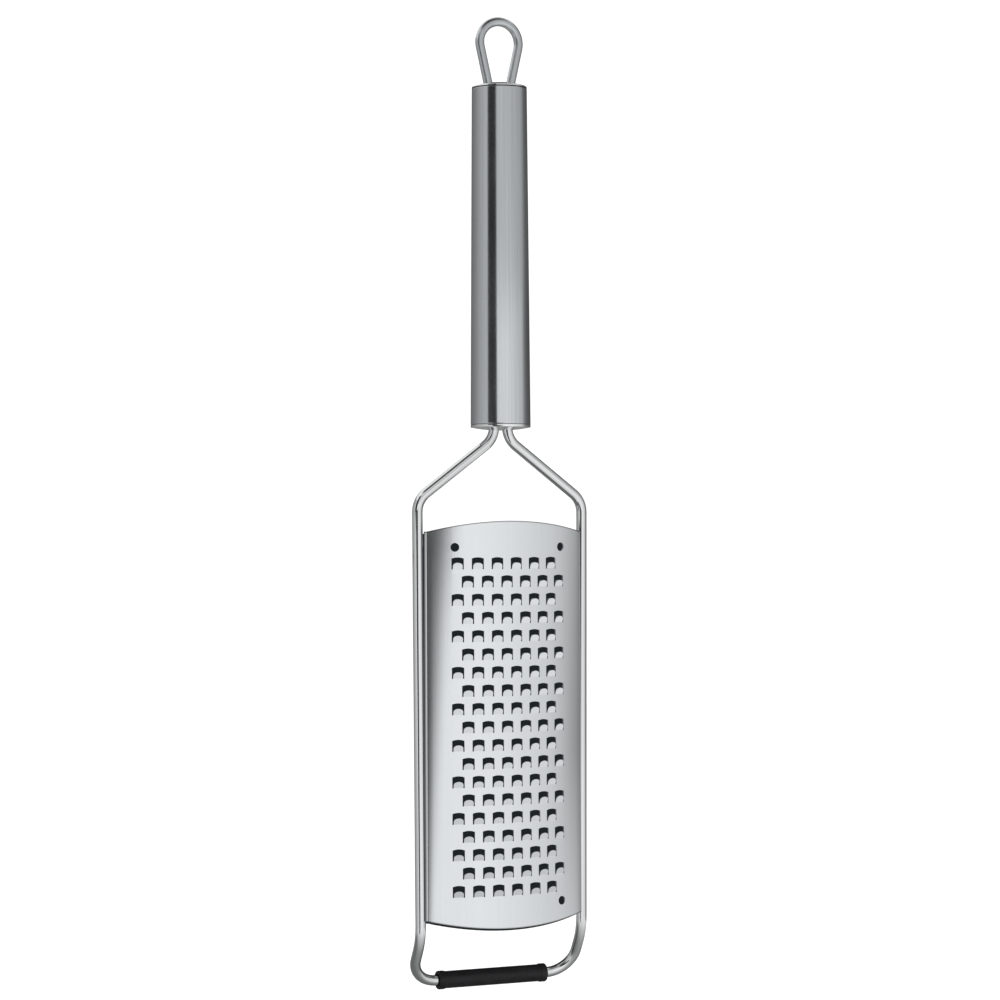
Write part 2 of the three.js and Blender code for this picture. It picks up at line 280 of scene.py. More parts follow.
def turned(profile):
    """A piece turned on the lathe about Z, from a profile of radius and height"""
    bm = bmesh.new()
    corners = [bm.verts.new((radius, 0, height)) for radius, height in profile]
    line = [bm.edges.new(pair) for pair in zip(corners, corners[1:])]
    bmesh.ops.spin(
        bm, geom=corners + line, cent=(0, 0, 0), axis=(0, 0, 1),
        angle=2 * math.pi, steps=LATHE_STEPS, use_merge=True,
    )
    bmesh.ops.remove_doubles(bm, verts=bm.verts, dist=MERGE)
    bmesh.ops.recalc_face_normals(bm, faces=bm.faces)
    mark_sharp(bm)
    return bm


def loop_corners():
    """Up one limb, round the eye and down the other limb"""
    root = Vector((LIMB_REACH, 0, TUBE_TOP + CAP_RIM))
    to_eye = Vector((0, 0, EYE_HEIGHT)) - root
    lean = math.asin(EYE_LINE / to_eye.length) - math.atan2(-to_eye.x, to_eye.z)
    end_height = loop_low.z + LOOP_WIRE * math.sin(lean)
    end_reach = root.x - (root.z - end_height) * math.tan(lean)
    half_sweep = math.pi / 2 + lean
    corner_line = EYE_LINE / math.cos(half_sweep / 2)
    corner_angle = math.pi / 2 - half_sweep / 2
    corner_reach = corner_line * math.cos(corner_angle)
    corner_height = EYE_HEIGHT + corner_line * math.sin(corner_angle)
    return [
        ((end_reach, 0, end_height), 0),
        ((corner_reach, 0, corner_height), EYE_LINE),
        ((-corner_reach, 0, corner_height), EYE_LINE),
        ((-end_reach, 0, end_height), 0),
    ]


def frame_corners():
    """Down one leg, arm and rail, along the foot bar and up the other side"""
    right = [
        ((LEG_REACH, 0, wire_high.z), 0),
        ((LEG_REACH, 0, NECK_HEIGHT), NECK_BEND),
        ((RAIL_REACH + RAIL_SPLAY, RAIL_SETBACK, SHOULDER_HEIGHT), SHOULDER_BEND),
        ((RAIL_REACH, RAIL_SETBACK, FOOT_BEND_HEIGHT), FOOT_BEND),
        ((RAIL_REACH, FOOT_SETBACK, FOOT_HEIGHT), FOOT_CORNER),
    ]
    left = [((-x, y, z), bend) for (x, y, z), bend in reversed(right)]
    return right + left


def tube_profile():
    """The tube's wall, a seam short of the top cap, with a small round on both of its outer edges"""
    top, bottom = TUBE_TOP_RADIUS, TUBE_BOTTOM_RADIUS
    upper, lower = TUBE_TOP - TOP_SEAM, TUBE_BOTTOM
    support = 3 * TUBE_EDGE
    slope = (bottom - top) / (TUBE_TOP - TUBE_BOTTOM)
    return [
        (bottom - TUBE_WALL, lower),
        *arc_points((bottom - TUBE_EDGE, lower + TUBE_EDGE), TUBE_EDGE, -90, 0),
        (bottom - slope * support, lower + support),
        (top + slope * support, upper - support),
        *arc_points((top - TUBE_EDGE, upper - TUBE_EDGE), TUBE_EDGE, 0, 90),
        (top - TUBE_WALL, upper),
        (bottom - TUBE_WALL, lower),
    ]


def cap_profile(radius, seam, rim, edge):
    """A cap from its spigot to the middle of its dome, as heights above the tube's end"""
    spigot = radius - TUBE_WALL - SPIGOT_GAP
    reach = radius - edge
    dome = (reach ** 2 + (CAP_HEIGHT - rim) ** 2) / (2 * (CAP_HEIGHT - rim))
    swing = math.degrees(math.asin(reach / dome))
    crown = arc_points((0, CAP_HEIGHT - dome), dome, 90 - swing, 90, 2 * ARC_STEPS)
    return [
        (0, -CAP_SPIGOT),
        (spigot, -CAP_SPIGOT),
        (spigot, seam),
        *arc_points((radius - SEAM_EDGE, seam + SEAM_EDGE), SEAM_EDGE, -90, 0),
        *arc_points((reach, rim - edge), edge, 0, 90 - swing)[1:],
        *crown[1:-1],
        (0, CAP_HEIGHT),
    ]


def bored_cap(name, profile, seat, way, corners, wire):
    """A turned cap, bored for the two ends of a wire; way is 1 for the top cap, -1 for the bottom"""
    cap = new_object(name, turned([(radius, seat + way * height) for radius, height in profile]))
    drill = new_object(name + "_drill", bent_rod(corners, wire + BORE_GAP))
    cut = cap.modifiers.new("bores", "BOOLEAN")
    cut.operation = "DIFFERENCE"
    cut.solver = "EXACT"
    cut.object = drill
    evaluated = cap.evaluated_get(bpy.context.evaluated_depsgraph_get())
    bored = bpy.data.meshes.new_from_object(evaluated)
    cap.modifiers.clear()
    cap.data = bored
    bpy.data.objects.remove(drill)
    bored.set_sharp_from_angle(angle=SHARP)
    seam_corner = profile[2]
    # Faces below the seam, on the spigot, take the painted seam shade
    for face in bored.polygons:
        face.material_index = int(way * (face.center.z - seat) < seam_corner[1] + NEAR)
    return cap


def tooth_near(along, height):
    """The middle of the window nearest to a place on the flat sheet"""
    row = min(max(round((FIRST_ROW - height) / ROW_PITCH), 0), TOOTH_ROWS - 1)
    first = (-(TOOTH_COLUMNS - 1) / 2 + (row % 2 - 0.5) / 2) * TOOTH_PITCH
    column = min(max(round((along - first) / TOOTH_PITCH), 0), TOOTH_COLUMNS - 1)
    return first + column * TOOTH_PITCH, FIRST_ROW - row * ROW_PITCH


def sheet_columns():
    """Lines up the flat sheet: tooth middles, tongue and window sides, the bend and the edge"""
    lines = {0.0}
    for quarter in range(1, 2 * TOOTH_COLUMNS, 2):
        along = quarter * TOOTH_PITCH / 4
        for side in (0, TONGUE_SHOULDER, TONGUE_SIDE, WINDOW_SIDE):
            lines.update((along - side, along + side))
    outer = max(lines)
    lines.update(outer + (BEND_START - outer) * step / SIDE_STEPS for step in range(1, SIDE_STEPS))
    lines.update(BEND_START + BEND_LENGTH * step / SIDE_STEPS for step in range(SIDE_STEPS + 1))
    lines.add(SHEET_HALF)
    return sorted({round(line, 7) for line in lines} | {round(-line, 7) for line in lines})


def end_bulge(along, bulge):
    """How far an end of the blade stands past its corners at a place along the arch"""
    across = min(ARCH_RADIUS * math.sin(abs(along) / ARCH_RADIUS), ARCH_REACH)
    curve = (ARCH_REACH ** 2 + bulge ** 2) / (2 * bulge)
    return math.sqrt(curve ** 2 - across ** 2) - (curve - bulge)


def sheet_heights(along):
    """Heights of the lines across the flat sheet, at a place along the arch"""
    windows = []
    for row in reversed(range(TOOTH_ROWS)):
        height = FIRST_ROW - row * ROW_PITCH
        windows += [height - WINDOW_DROP, height + WINDOW_RISE - WINDOW_CROWN]
    bottom = BLADE_BOTTOM - end_bulge(along, BOTTOM_BULGE)
    top = BLADE_TOP + end_bulge(along, TOP_BULGE)
    below = [windows[0] + (bottom + EDGE_SHADE_WIDTH - windows[0]) * share for share in reversed(END_LINES)]
    above = [windows[-1] + (top - EDGE_SHADE_WIDTH - windows[-1]) * share for share in END_LINES]
    return [bottom, *below, *windows, *above, top]


def lay_out_sheet(bm):
    """The flat sheet with a line wherever a window, a tongue, the bend or an end needs one"""
    edge = bm.verts.layers.float.new(PAINTED_EDGE_SHADE)
    columns = sheet_columns()
    heights = [sheet_heights(along) for along in columns]
    across, up = len(columns) - 1, len(heights[0]) - 1
    bmesh.ops.create_grid(bm, x_segments=across, y_segments=up, size=1)
    for vert in bm.verts:
        column = round((vert.co.x + 1) / 2 * across)
        row = round((vert.co.y + 1) / 2 * up)
        vert.co = (columns[column], heights[column][row], 0)
        # Painted shade: full on the sheet's outer rows and columns, fading out by the next line in
        vert[edge] = float(row in (0, up) or column in (0, across))


def punch_windows(bm):
    """Cuts the windows, crowns their upper edges and returns the root of each tongue"""
    cut = []
    for face in bm.faces:
        middle = face.calc_center_median()
        along, height = tooth_near(middle.x, middle.y)
        in_height = -WINDOW_DROP < middle.y - height < WINDOW_RISE - WINDOW_CROWN
        if abs(middle.x - along) < WINDOW_SIDE and in_height:
            cut.append(face)
    bmesh.ops.delete(bm, geom=cut, context="FACES")
    roots = {}
    for vert in bm.verts:
        along, height = tooth_near(vert.co.x, vert.co.y)
        share = (vert.co.x - along) / WINDOW_SIDE
        on_top = abs(vert.co.y - height - WINDOW_RISE + WINDOW_CROWN) < NEAR
        if vert.is_boundary and on_top and abs(share) < 1:
            vert.co.y += WINDOW_CROWN * (1 - share ** 2)
    for edge in bm.edges:
        middle = (edge.verts[0].co + edge.verts[1].co) / 2
        along, height = tooth_near(middle.x, middle.y)
        on_sill = abs(middle.y - height + WINDOW_DROP) < NEAR
        if edge.is_boundary and on_sill and abs(middle.x - along) < TONGUE_SIDE:
            roots.setdefault((along, height), []).append(edge)
    return roots


def tongue_rise(reach):
    """How far a tongue stands out of the sheet: a tight bend at its root, then straight"""
    bent = min(reach, BEND_REACH)
    rise = TONGUE_BEND - math.sqrt(TONGUE_BEND ** 2 - bent ** 2)
    return rise + (reach - bent) * math.tan(TONGUE_TILT)


def raise_tongue(bm, place, root):
    """Bends one round-ended tongue out of the sheet from the sill of its window"""
    along, height = place
    straight = TONGUE_REACH - TONGUE_END
    stations = [(share * BEND_REACH, 1) for share in TONGUE_LINES]
    stations.append((straight, 1))
    for angle in TONGUE_END_ANGLES:
        turn = math.radians(angle)
        stations.append((straight + TONGUE_END * math.sin(turn), math.cos(turn)))
    edges, before = root, 1
    for reach, width in stations:
        grown = bmesh.ops.extrude_edge_only(bm, edges=edges)["geom"]
        tip = set(verts_of(grown))
        edges = [edge for edge in edges_of(grown) if tip.issuperset(edge.verts)]
        for vert in tip:
            vert.co.x = along + (vert.co.x - along) * width / before
            vert.co.y = height - WINDOW_DROP + reach
            vert.co.z = tongue_rise(reach)
        before = width


def drill_hole(bm, along, height):
    """A round hole let into the sheet"""
    patch = []
    for face in bm.faces:
        middle = face.calc_center_median()
        if abs(middle.x - along) < HOLE_PATCH and abs(middle.y - height) < HOLE_PATCH:
            patch.append(face)
    around = {edge for face in patch for edge in face.edges}
    rim = [edge for edge in around if sum(face in patch for face in edge.link_faces) == 1]
    bmesh.ops.delete(bm, geom=patch, context="FACES")
    fresh = verts_of(bmesh.ops.extrude_edge_only(bm, edges=rim)["geom"])
    fresh.sort(key=lambda vert: math.atan2(vert.co.y - height, vert.co.x - along))
    for step, vert in enumerate(fresh):
        angle = 2 * math.pi * (step + 0.5) / len(fresh) - math.pi
        vert.co = (along + HOLE_RADIUS * math.cos(angle), height + HOLE_RADIUS * math.sin(angle), 0)


def arch_sheet(bm):
    """Bends the flat sheet to its arch and its two sides back"""
    for vert in bm.verts:
        along, height, out = vert.co
        skin = out + SHEET / 2
        start = min(abs(along), BEND_START) / ARCH_RADIUS
        bent = min(max(abs(along) - BEND_START, 0), BEND_LENGTH)
        straight = max(abs(along) - BEND_START - BEND_LENGTH, 0)
        angle = start + bent / CREASE_BEND
        reach = (
            ARCH_RADIUS * math.sin(start) + CREASE_BEND * (math.sin(angle) - math.sin(start))
            + straight * math.cos(angle) + skin * math.sin(angle)
        )
        depth = (
            ARCH_CENTRE - ARCH_RADIUS * math.cos(start) + CREASE_BEND * (math.cos(start) - math.cos(angle))
            + straight * math.sin(angle) - skin * math.cos(angle)
        )
        vert.co = (math.copysign(reach, along), depth, height)


def blade_sheet():
    """The blade: punched and drilled flat, given its thickness and arched"""
    bm = bmesh.new()
    lay_out_sheet(bm)
    for place, root in punch_windows(bm).items():
        raise_tongue(bm, place, root)
    hole_rise = BLADE_TOP - BLADE_MIDDLE - HOLE_MARGIN
    for side, end in ((-1, 1), (1, 1), (1, -1)):
        drill_hole(bm, side * HOLE_ALONG, BLADE_MIDDLE + end * hole_rise)
    bmesh.ops.recalc_face_normals(bm, faces=bm.faces)
    if sum(face.normal.z for face in bm.faces) < 0:
        bmesh.ops.reverse_faces(bm, faces=bm.faces)
    bm.normal_update()
    front = set(bm.verts)
    bmesh.ops.solidify(bm, geom=list(bm.faces), thickness=SHEET)
    for face in bm.faces:
        in_front = sum(vert in front for vert in face.verts)
        face.material_index = int(0 < in_front < len(face.verts))
    arch_sheet(bm)
    bmesh.ops.recalc_face_normals(bm, faces=bm.faces)
    mark_sharp(bm)
    return bm


def shade_behind_blade():
    """A dark card that follows the arch just behind the sheet and shows a little below its end"""
    bm = bmesh.new()
    bmesh.ops.create_grid(bm, x_segments=SHADE_STEPS, y_segments=1, size=1)
    for vert in bm.verts:
        along = vert.co.x * (SHEET_HALF + SHADE_PAST_SIDE)
        height = BLADE_TOP + end_bulge(along, TOP_BULGE) - SHADE_PAST_END
        if vert.co.y < 0:
            past = SHADE_PAST_END - SHADE_LEAN * vert.co.x
            height = BLADE_BOTTOM - end_bulge(along, BOTTOM_BULGE) - past
        vert.co = (along, height, -SHEET - SHADE_GAP)
    arch_sheet(bm)
    return bm


def sleeve_body():
    """The soft sleeve, turned on the bar's axis, with a rolled lip at each end"""
    plain = SLEEVE_RADIUS - LIP_HEIGHT
    ramp = []
    for step in range(ARC_STEPS + 1):
        share = step / ARC_STEPS
        ease = share * share * (3 - 2 * share)
        ramp.append((SLEEVE_RADIUS - LIP_HEIGHT * ease, SLEEVE_REACH - LIP_LENGTH - LIP_RAMP * share))
    shoulder = (SLEEVE_RADIUS - LIP_ROUND, SLEEVE_REACH - LIP_ROUND)
    mouth = (SLEEVE_BORE + LIP_ROUND / 2, SLEEVE_REACH - LIP_ROUND / 2)
    half = [
        (SLEEVE_BORE, 0),
        *arc_points(mouth, LIP_ROUND / 2, 180, 90),
        *arc_points(shoulder, LIP_ROUND, 90, 0),
        *ramp,
        (plain, SLEEVE_REACH / 3),
    ]
    other = [(radius, -along) for radius, along in reversed(half[1:])]
    bm = turned([*half, *other, half[0]])
    lay_along = Matrix.Translation((0, FOOT_SETBACK, FOOT_HEIGHT)) @ Matrix.Rotation(math.pi / 2, 4, "Y")
    bmesh.ops.transform(bm, matrix=lay_along, verts=bm.verts)
    return bm


# Steel tones
WIRE_COLOUR = (0.76, 0.775, 0.78)
# Loop: a satin finish, and a base darker than the frame wire's that is painted shade
LOOP_COLOUR_WITH_SHADE = (0.56, 0.585, 0.595)
TUBE_COLOUR = (0.6, 0.625, 0.64)
# Caps: polished, and a base raised above the tube's that is painted highlight
CAP_COLOUR_WITH_HIGHLIGHT = (0.84, 0.85, 0.855)
SHEET_COLOUR = (0.757, 0.78, 0.795)

# Share of its colour that the sheet keeps where shade is painted along its ends and sides
EDGE_SHADE_SHARE = 0.06

# Part of a grain's range that the materials use
GRAIN_LOW = 0.3
GRAIN_HIGH = 0.7


def new_material(name, metallic):
    """A material with its node tree and its shader"""
    material = bpy.data.materials.new(name)
    material.use_nodes = True
    shader = material.node_tree.nodes["Principled BSDF"]
    shader.inputs["Metallic"].default_value = metallic
    return material, material.node_tree, shader


def object_place(tree):
    return tree.nodes.new("ShaderNodeTexCoord").outputs["Object"]


def attribute(tree, name, output):
    node = tree.nodes.new("ShaderNodeAttribute")
    node.attribute_name = name
    return node.outputs[output]


def grain(tree, place, scale, detail=3.0):
    """Noise whose scale gives how often it changes along each axis, per metre"""
    mapping = tree.nodes.new("ShaderNodeMapping")
    mapping.inputs["Scale"].default_value = scale
    tree.links.new(place, mapping.inputs["Vector"])
    noise = tree.nodes.new("ShaderNodeTexNoise")
    noise.inputs["Scale"].default_value = 1.0
    noise.inputs["Detail"].default_value = detail
    tree.links.new(mapping.outputs["Vector"], noise.inputs["Vector"])
    return noise.outputs["Fac"]


def between(tree, value, low, high):
    """A number that follows a grain between two limits"""
    node = tree.nodes.new("ShaderNodeMapRange")
    node.inputs["From Min"].default_value = GRAIN_LOW
    node.inputs["From Max"].default_value = GRAIN_HIGH
    node.inputs["To Min"].default_value = low
    node.inputs["To Max"].default_value = high
    tree.links.new(value, node.inputs["Value"])
    return node.outputs["Result"]


def toned(tree, value, dark, light):
    """A colour that follows a grain between two tones"""
    ramp = tree.nodes.new("ShaderNodeValToRGB")
    ramp.color_ramp.elements[0].position = GRAIN_LOW
    ramp.color_ramp.elements[0].color = (*dark, 1)
    ramp.color_ramp.elements[1].position = GRAIN_HIGH
    ramp.color_ramp.elements[1].color = (*light, 1)
    tree.links.new(value, ramp.inputs["Fac"])
    return ramp.outputs["Color"]


def scaled(tree, colour, factor):
    """A colour darkened by a factor from another socket"""
    node = tree.nodes.new("ShaderNodeVectorMath")
    node.operation = "SCALE"
    tree.links.new(colour, node.inputs[0])
    tree.links.new(factor, node.inputs["Scale"])
    return node.outputs["Vector"]


def bumped(tree, shader, height, strength, distance):
    bump = tree.nodes.new("ShaderNodeBump")
    bump.inputs["Strength"].default_value = strength
    bump.inputs["Distance"].default_value = distance
    tree.links.new(height, bump.inputs["Height"])
    tree.links.new(bump.outputs["Normal"], shader.inputs["Normal"])


def tone(colour, factor):
    return tuple(channel * factor for channel in colour)


def drawn_wire_steel(name, colour, low, high):
    """Drawn wire: fine lines that follow the rod round its bends"""
    material, tree, shader = new_material(name, 1.0)
    place = attribute(tree, ROD_PLACE, "Vector")
    lines = grain(tree, place, (1800, 1800, 18))
    colour = toned(tree, lines, tone(colour, 0.93), tone(colour, 1.04))
    tree.links.new(colour, shader.inputs["Base Color"])
    tree.links.new(between(tree, lines, low, high), shader.inputs["Roughness"])
    bumped(tree, shader, lines, 0.12, 0.02 * MM)
    return material


def brushed_tube_steel():
    """Handle tube: lengthwise brushing over a faint mottle"""
    material, tree, shader = new_material("brushed_tube_steel", 1.0)
    place = object_place(tree)
    lines = grain(tree, place, (1500, 1500, 9), 5.0)
    colour = toned(tree, lines, tone(TUBE_COLOUR, 0.94), tone(TUBE_COLOUR, 1.04))
    tree.links.new(colour, shader.inputs["Base Color"])
    mottle = grain(tree, place, (60, 60, 30))
    tree.links.new(between(tree, mottle, 0.15, 0.2), shader.inputs["Roughness"])
    bumped(tree, shader, lines, 0.08, 0.02 * MM)
    return material


def turned_cap_steel():
    """Caps: fine rings left by the lathe"""
    material, tree, shader = new_material("turned_cap_steel", 1.0)
    flat = tree.nodes.new("ShaderNodeMapping")
    flat.inputs["Scale"].default_value = (1, 1, 0)
    tree.links.new(object_place(tree), flat.inputs["Vector"])
    length = tree.nodes.new("ShaderNodeVectorMath")
    length.operation = "LENGTH"
    tree.links.new(flat.outputs["Vector"], length.inputs[0])
    along = tree.nodes.new("ShaderNodeCombineXYZ")
    tree.links.new(length.outputs["Value"], along.inputs["X"])
    rings = grain(tree, along.outputs["Vector"], (4000, 1, 1))
    colour = toned(tree, rings, tone(CAP_COLOUR_WITH_HIGHLIGHT, 0.92), tone(CAP_COLOUR_WITH_HIGHLIGHT, 1.04))
    tree.links.new(colour, shader.inputs["Base Color"])
    tree.links.new(between(tree, rings, 0.12, 0.2), shader.inputs["Roughness"])
    bumped(tree, shader, rings, 0.1, 0.02 * MM)
    return material


def satin_sheet_steel():
    """Blade sheet: satin rolled steel, with shade painted along its cut ends and its welded sides"""
    material, tree, shader = new_material("satin_sheet_steel", 1.0)
    place = object_place(tree)
    lines = grain(tree, place, (1100, 1100, 14), 4.0)
    colour = toned(tree, lines, tone(SHEET_COLOUR, 0.985), tone(SHEET_COLOUR, 1.01))
    # Painted shade: the colour darkens towards the sheet's ends and sides
    edge_shade = tree.nodes.new("ShaderNodeMapRange")
    edge_shade.inputs["To Min"].default_value = 1.0
    edge_shade.inputs["To Max"].default_value = EDGE_SHADE_SHARE
    tree.links.new(attribute(tree, PAINTED_EDGE_SHADE, "Fac"), edge_shade.inputs["Value"])
    tree.links.new(scaled(tree, colour, edge_shade.outputs["Result"]), shader.inputs["Base Color"])
    smudge = grain(tree, place, (45, 45, 30))
    tree.links.new(between(tree, smudge, 0.12, 0.16), shader.inputs["Roughness"])
    bumped(tree, shader, lines, 0.02, 0.02 * MM)
    return material


def cut_edge_steel():
    """The sheet's cut edges: torn, rougher and darker than its faces"""
    material, tree, shader = new_material("cut_edge_steel", 1.0)
    tears = grain(tree, object_place(tree), (2500, 2500, 2500))
    colour = toned(tree, tears, (0.2, 0.21, 0.22), (0.36, 0.37, 0.38))
    tree.links.new(colour, shader.inputs["Base Color"])
    tree.links.new(between(tree, tears, 0.3, 0.45), shader.inputs["Roughness"])
    bumped(tree, shader, tears, 0.3, 0.03 * MM)
    return material


def painted_seam_shade():
    """Painted shade for the seam between a cap and the tube, on the cap's spigot inside it"""
    material, tree, shader = new_material("painted_seam_shade", 0.0)
    specks = grain(tree, object_place(tree), (1800, 1800, 1800))
    colour = toned(tree, specks, (0.01, 0.01, 0.012), (0.03, 0.03, 0.032))
    tree.links.new(colour, shader.inputs["Base Color"])
    tree.links.new(between(tree, specks, 0.6, 0.8), shader.inputs["Roughness"])
    shader.inputs["Specular IOR Level"].default_value = 0.2
    return material


def black_sleeve_rubber():
    """Foot sleeve: matt black with a fine skin"""
    material, tree, shader = new_material("black_sleeve_rubber", 0.0)
    place = object_place(tree)
    skin = grain(tree, place, (2200, 2200, 2200))
    colour = toned(tree, grain(tree, place, (160, 400, 400)), (0.004, 0.004, 0.005), (0.009, 0.009, 0.011))
    tree.links.new(colour, shader.inputs["Base Color"])
    tree.links.new(between(tree, skin, 0.42, 0.58), shader.inputs["Roughness"])
    shader.inputs["Specular IOR Level"].default_value = 0.28
    bumped(tree, shader, skin, 0.25, 0.05 * MM)
    return material


wire_steel = drawn_wire_steel("bright_drawn_wire", WIRE_COLOUR, 0.08, 0.12)
loop_steel = drawn_wire_steel("satin_loop_wire", LOOP_COLOUR_WITH_SHADE, 0.26, 0.34)
tube_steel = brushed_tube_steel()
cap_steel = turned_cap_steel()
seam_shade = painted_seam_shade()
sheet_steel = satin_sheet_steel()
edge_steel = cut_edge_steel()
sleeve_rubber = black_sleeve_rubber()

hanging_loop = new_object("loop_of_bright_wire", bent_rod(loop_corners(), LOOP_WIRE))
frame_rod = new_object("bent_frame_rod", bent_rod(frame_corners(), FRAME_WIRE))
tube = new_object("brushed_handle_tube", turned(tube_profile()))
top_profile = cap_profile(TUBE_TOP_RADIUS, 0, TOP_RIM, TOP_EDGE)
top_cap = bored_cap("turned_top_cap", top_profile, TUBE_TOP, 1, loop_corners(), LOOP_WIRE)
bottom_profile = cap_profile(TUBE_BOTTOM_RADIUS, BOTTOM_SEAM, BOTTOM_RIM, BOTTOM_EDGE)
bottom_cap = bored_cap("turned_bottom_cap", bottom_profile, TUBE_BOTTOM, -1, frame_corners(), FRAME_WIRE)
blade = new_object("punched_blade_sheet", blade_sheet())
sleeve = new_object("soft_foot_sleeve", sleeve_body())

for piece, node, slot, materials in (
    (hanging_loop, "hanging_loop", "wire_steel", [loop_steel]),
    (frame_rod, "frame_wire", "wire_steel", [wire_steel]),
    (tube, "handle_tube", "handle_steel", [tube_steel]),
    (top_cap, "handle_top_cap", "cap_steel", [cap_steel, seam_shade]),
    (bottom_cap, "handle_bottom_cap", "cap_steel", [cap_steel, seam_shade]),
    (blade, "grater_blade", "blade_steel", [sheet_steel, edge_steel]),
    (sleeve, "foot_sleeve", "sleeve_rubber", [sleeve_rubber]),
):
    for material in materials:
        piece.data.materials.append(material)
    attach(piece, "root")
    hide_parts(node)


# Studio floor and backdrop, in metres
FLOOR_HEIGHT = -0.46
FLOOR_REACH = 8.0
FLOOR_COLOUR = (0.8, 0.8, 0.8, 1)
FLOOR_GLOW = 0.45
COVE_START = 1.6
COVE_RADIUS = 0.8
COVE_STEPS = 24

# Cards round the grater that are seen only in its steel, in metres and degrees
CARD_RADIUS = 0.5
CARD_FOOT = -0.45
CARD_WAIST = -0.31
CARD_STEP = -0.055
CARD_TOP = 0.42
REAR_CARD_TOP = 0.14
LEFT_FLAG_RADIUS = 0.49
LEFT_FLAG_FOOT = -0.177
LEFT_FLAG_TOP = 0.3
CAMERA_FLAG_RADIUS = 0.3
CAMERA_FLAG_FOOT = -0.455
CAMERA_FLAG_WAIST = -0.232
CAMERA_FLAG_TOP = -0.165
CEILING_CENTRE = -0.26
FLOOR_CARD_CENTRE = 0.45
FLOOR_CARD_SIDE = -0.08
BEHIND_CENTRE = 0.3
BEHIND_REACH = 0.28
HANDLE_CARD_HEIGHT = -0.2
FOOT_CARD_HEIGHT = -0.202
CARD_TURN = 2
LEVEL_CARD_STEPS = 48
AZIMUTH_SLACK = 0.02

# What shows through the blade's windows from the front
DARK_COLOUR = (0.013, 0.017, 0.019, 1)


def card_glow():
    """Card material that glows by the brightness its mesh carries"""
    material = bpy.data.materials.new("studio_card")
    material.use_nodes = True
    tree = material.node_tree
    tree.nodes.clear()
    glow = tree.nodes.new("ShaderNodeEmission")
    tree.links.new(attribute(tree, CARD_SHADE, "Fac"), glow.inputs["Strength"])
    output = tree.nodes.new("ShaderNodeOutputMaterial")
    tree.links.new(glow.outputs["Emission"], output.inputs["Surface"])
    return material


def pale_floor():
    """Floor and backdrop in one sweep"""
    bm = bmesh.new()
    ends = [bm.verts.new((side * FLOOR_REACH, -FLOOR_REACH, FLOOR_HEIGHT)) for side in (-1, 1)]
    line = [bm.edges.new(ends)]

    def run_on(line, vector):
        grown = bmesh.ops.extrude_edge_only(bm, edges=line)["geom"]
        far = set(verts_of(grown))
        bmesh.ops.translate(bm, vec=vector, verts=list(far))
        return [edge for edge in edges_of(grown) if far.issuperset(edge.verts)]

    line = run_on(line, (0, FLOOR_REACH + COVE_START, 0))
    swept = bmesh.ops.spin(
        bm, geom=line, cent=(0, COVE_START, FLOOR_HEIGHT + COVE_RADIUS), axis=(1, 0, 0),
        angle=math.pi / 2, steps=COVE_STEPS,
    )
    run_on(edges_of(swept["geom_last"]), (0, 0, FLOOR_REACH))
    bmesh.ops.recalc_face_normals(bm, faces=bm.faces)
    floor = new_object("pale_floor", bm)
    material = bpy.data.materials.new("pale_floor")
    material.use_nodes = True
    shader = material.node_tree.nodes["Principled BSDF"]
    shader.inputs["Base Color"].default_value = FLOOR_COLOUR
    shader.inputs["Roughness"].default_value = 1.0
    shader.inputs["Specular IOR Level"].default_value = 0.0
    shader.inputs["Emission Color"].default_value = (1, 1, 1, 1)
    shader.inputs["Emission Strength"].default_value = FLOOR_GLOW
    floor.data.materials.append(material)


def hang_card(name, bm):
    """Makes a card that is seen only in the steel"""
    made = new_object(name, bm)
    made.data.materials.append(card_material)
    made.visible_camera = False
    made.visible_diffuse = False
    made.visible_shadow = False
    made.visible_transmission = False


def level_card(name, centre, height, shades, side=0.0):
    """A round card that lies level; shades are pairs of distance from its centre and brightness"""
    bm = bmesh.new()
    shade = bm.verts.layers.float.new(CARD_SHADE)
    line = []
    for distance, brightness in shades:
        line.append(bm.verts.new((side + distance, centre, height)))
        line[-1][shade] = brightness
    line += [bm.edges.new(pair) for pair in zip(line, line[1:])]
    bmesh.ops.spin(
        bm, geom=line, cent=(side, centre, height), axis=(0, 0, 1),
        angle=2 * math.pi, steps=LEVEL_CARD_STEPS, use_merge=True,
    )
    hang_card(name, bm)


def shade_at(shades, azimuth):
    """Brightness at an azimuth, from pairs of azimuth and brightness"""
    for (a, shade_a), (b, shade_b) in zip(shades, shades[1:]):
        if min(a, b) - AZIMUTH_SLACK <= azimuth <= max(a, b) + AZIMUTH_SLACK:
            return shade_a + (shade_b - shade_a) * (azimuth - a) / (b - a)


def card(name, shades, low, high, foot_shades=None, radius=CARD_RADIUS, taper=0.0):
    """An upright card on a circle round the grater. Shades are pairs of azimuth and brightness;
    azimuth 0 is in front of the blade and -90 at its left. A taper narrows its foot from the far end"""
    bm = bmesh.new()
    shade = bm.verts.layers.float.new(CARD_SHADE)
    start, end = shades[0][0], shades[-1][0]
    foot = Vector((math.sin(math.radians(start)), -math.cos(math.radians(start)), 0)) * radius
    ends = [bm.verts.new((foot.x, foot.y, height)) for height in (low, high)]
    line = [bm.edges.new(ends)]
    steps = round(abs(end - start) / CARD_TURN)
    bmesh.ops.spin(
        bm, geom=ends + line, cent=(0, 0, 0), axis=(0, 0, 1),
        angle=math.radians(end - start), steps=steps,
    )
    for vert in bm.verts:
        azimuth = math.degrees(math.atan2(vert.co.x, -vert.co.y))
        while azimuth < min(start, end) - AZIMUTH_SLACK:
            azimuth += 360
        while azimuth > max(start, end) + AZIMUTH_SLACK:
            azimuth -= 360
        at_foot = vert.co.z < (low + high) / 2
        vert[shade] = shade_at(foot_shades if foot_shades and at_foot else shades, azimuth)
        if at_foot and taper:
            turn = math.radians(start + (azimuth - start) * (1 - taper))
            vert.co.xy = (radius * math.sin(turn), -radius * math.cos(turn))
    hang_card(name, bm)


